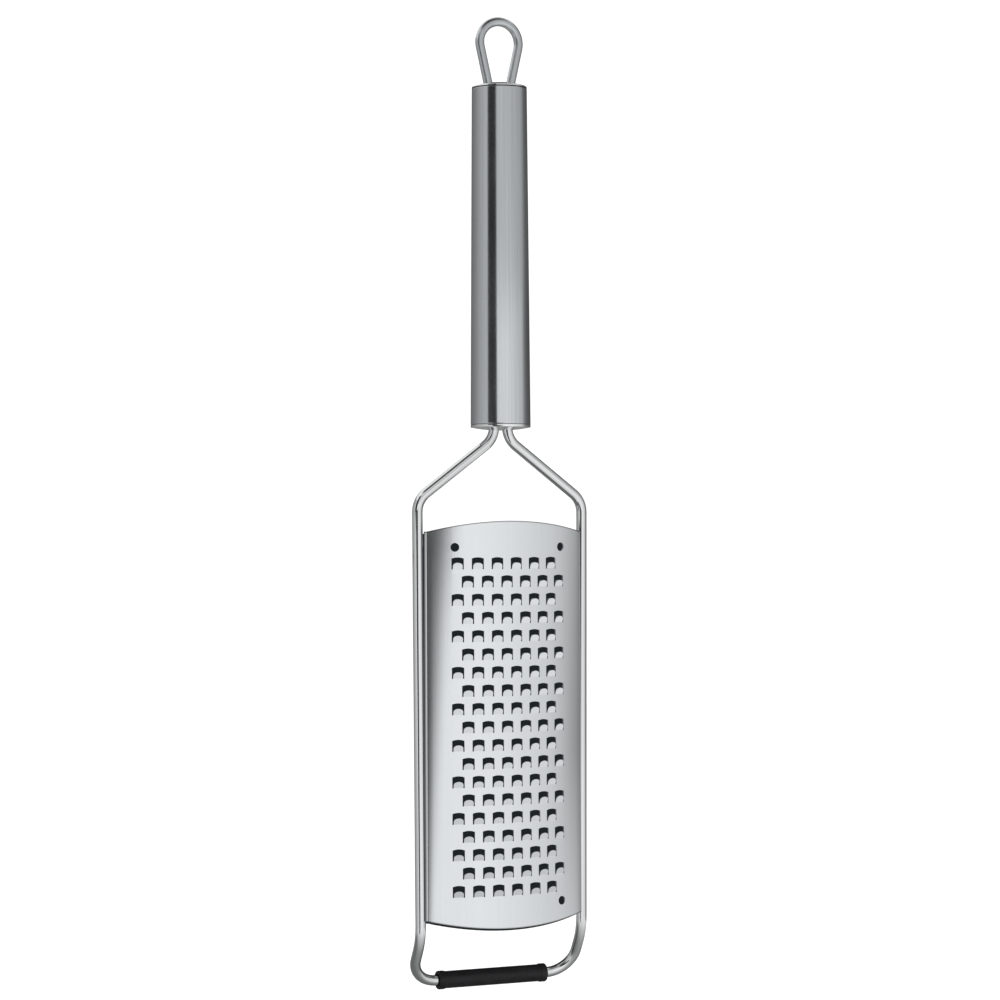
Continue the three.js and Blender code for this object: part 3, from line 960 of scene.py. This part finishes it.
def dark_card():
    """Dark space behind the blade, as in the photograph; it shows from the front only"""
    made = new_object("dark_card", shade_behind_blade())
    material = bpy.data.materials.new("dark_card")
    material.use_nodes = True
    tree = material.node_tree
    tree.nodes.clear()
    glow = tree.nodes.new("ShaderNodeEmission")
    glow.inputs["Color"].default_value = DARK_COLOUR
    clear = tree.nodes.new("ShaderNodeBsdfTransparent")
    side = tree.nodes.new("ShaderNodeNewGeometry")
    choice = tree.nodes.new("ShaderNodeMixShader")
    tree.links.new(side.outputs["Backfacing"], choice.inputs["Fac"])
    tree.links.new(glow.outputs["Emission"], choice.inputs[1])
    tree.links.new(clear.outputs["BSDF"], choice.inputs[2])
    output = tree.nodes.new("ShaderNodeOutputMaterial")
    tree.links.new(choice.outputs["Shader"], output.inputs["Surface"])
    made.data.materials.append(material)
    made.visible_diffuse = False
    made.visible_glossy = False
    made.visible_transmission = False
    made.visible_shadow = False


card_material = card_glow()
pale_floor()
dark_card()
card(
    "left_rear_card",
    [(-60, 0.8), (-80, 0.62), (-100, 0.53), (-122, 0.42), (-135, 0.33), (-151, 0.27), (-204, 0.1)],
    CARD_FOOT, REAR_CARD_TOP,
)
right_front = [(0, 1.0), (20, 0.92)]
right_rear = [(100, 0.12), (160, 0.06)]
right_top = [*right_front, (48, 0.76), (61, 0.73), (70, 0.64), (80, 0.28), *right_rear]
right_middle = [*right_front, (48, 0.76), (61, 0.58), (70, 0.36), (80, 0.2), *right_rear]
right_foot = [*right_front, (48, 0.8), (61, 0.79), (70, 0.76), (80, 0.32), *right_rear]
card("right_lower_card", right_top, CARD_WAIST, CARD_STEP, foot_shades=right_middle)
card("right_foot_card", right_middle, CARD_FOOT, CARD_WAIST, foot_shades=right_foot)
card(
    "right_upper_card",
    [(-42, 0.7), (0, 0.68), (45, 0.59), (66, 0.53), (78, 0.42), (85, 0.31), (94, 0.16), (160, 0.06)],
    CARD_STEP, CARD_TOP,
)
card(
    "left_flag", [(-74, 0.03), (-38, 0.03)],
    LEFT_FLAG_FOOT, LEFT_FLAG_TOP, radius=LEFT_FLAG_RADIUS,
)
card(
    "camera_flag",
    [(-56, 0.03), (-22.3, 0.07), (-16.5, 0.26), (-12.1, 0.6), (-7.7, 0.88), (-3.3, 1.0)],
    CAMERA_FLAG_WAIST, CAMERA_FLAG_TOP, radius=CAMERA_FLAG_RADIUS, taper=0.21,
)
card(
    "camera_foot_flag",
    [(-56, 0.03), (-29.5, 0.07), (-24.9, 0.26), (-21.4, 0.6), (-18, 0.88), (-14.5, 1.0)],
    CAMERA_FLAG_FOOT, CAMERA_FLAG_WAIST, radius=CAMERA_FLAG_RADIUS, taper=0.44,
)
level_card("ceiling_card", CEILING_CENTRE, CARD_TOP, [(0, 0.05), (0.3, 0.08), (0.38, 0.4)])
level_card(
    "floor_card", FLOOR_CARD_CENTRE, CARD_FOOT,
    [
        (0, 0.16), (0.45, 0.17), (0.47, 0.2), (0.5, 0.3), (0.55, 0.5),
        (0.61, 0.67), (0.67, 0.82), (0.8, 0.92), (1.2, 0.97), (3.0, 0.97),
    ],
    side=FLOOR_CARD_SIDE,
)
level_card("handle_card", BEHIND_CENTRE, HANDLE_CARD_HEIGHT, [(0, 0.28), (BEHIND_REACH, 0.28)])
level_card("foot_card", BEHIND_CENTRE, FOOT_CARD_HEIGHT, [(0, 0.04), (BEHIND_REACH, 0.04)])


def soft_lamp(name, place, size, power):
    """A square lamp aimed at the top of the blade, not seen in the steel"""
    data = bpy.data.lights.new(name, "AREA")
    data.shape = "SQUARE"
    data.size = size
    data.energy = power
    lamp = bpy.data.objects.new(name, data)
    bpy.context.scene.collection.objects.link(lamp)
    lamp.location = place
    aim = Vector((0, 0, BLADE_TOP)) - lamp.location
    lamp.rotation_euler = aim.to_track_quat("-Z", "Y").to_euler()
    lamp.visible_glossy = False


soft_lamp("key_lamp", place=(-1.1, -1.2, 1.0), size=1.2, power=9.0)
soft_lamp("fill_lamp", place=(1.3, -0.9, 0.5), size=1.2, power=5.0)

# Strength of the surround as light, and as what the camera and the steel see
WORLD_LIGHT = 0.6
WORLD_WHITE = 1.0


def white_surround():
    """A surround that is white to the camera and in the steel, and a plain light otherwise"""
    world = bpy.data.worlds.new("studio")
    bpy.context.scene.world = world
    world.use_nodes = True
    sky = world.node_tree
    sky.nodes.clear()
    path = sky.nodes.new("ShaderNodeLightPath")
    seen = path.outputs["Is Camera Ray"]
    for ray in ("Is Glossy Ray", "Is Transmission Ray"):
        either = sky.nodes.new("ShaderNodeMath")
        either.operation = "MAXIMUM"
        sky.links.new(seen, either.inputs[0])
        sky.links.new(path.outputs[ray], either.inputs[1])
        seen = either.outputs["Value"]
    level = sky.nodes.new("ShaderNodeMapRange")
    level.inputs["To Min"].default_value = WORLD_LIGHT
    level.inputs["To Max"].default_value = WORLD_WHITE
    sky.links.new(seen, level.inputs["Value"])
    light = sky.nodes.new("ShaderNodeBackground")
    light.inputs["Color"].default_value = (1, 1, 1, 1)
    sky.links.new(level.outputs["Result"], light.inputs["Strength"])
    out = sky.nodes.new("ShaderNodeOutputWorld")
    sky.links.new(light.outputs["Background"], out.inputs["Surface"])


white_surround()

# Camera at the photograph's place: a little to the left of the grater and just below its middle
CAMERA_AIM = Vector((-0.32, 0.15, -181.98)) * MM
CAMERA_DISTANCE = 1.1
CAMERA_YAW = math.radians(24.85)
CAMERA_LIFT = math.radians(0.71)
CAMERA_ROLL = math.radians(-0.235)
CAMERA_LENS = 103.29
CAMERA_SENSOR = 36


def place_camera():
    data = bpy.data.cameras.new("camera")
    data.lens = CAMERA_LENS
    data.sensor_width = CAMERA_SENSOR
    camera = bpy.data.objects.new("camera", data)
    bpy.context.scene.collection.objects.link(camera)
    turn = (
        Matrix.Rotation(-CAMERA_YAW, 4, "Z")
        @ Matrix.Rotation(math.pi / 2 + CAMERA_LIFT, 4, "X")
        @ Matrix.Rotation(CAMERA_ROLL, 4, "Z")
    )
    back = (turn @ Vector((0, 0, 1, 0))).to_3d() * CAMERA_DISTANCE
    camera.matrix_world = Matrix.Translation(CAMERA_AIM + back) @ turn
    bpy.context.scene.camera = camera


place_camera()

bpy.context.scene.view_settings.view_transform = "Standard"
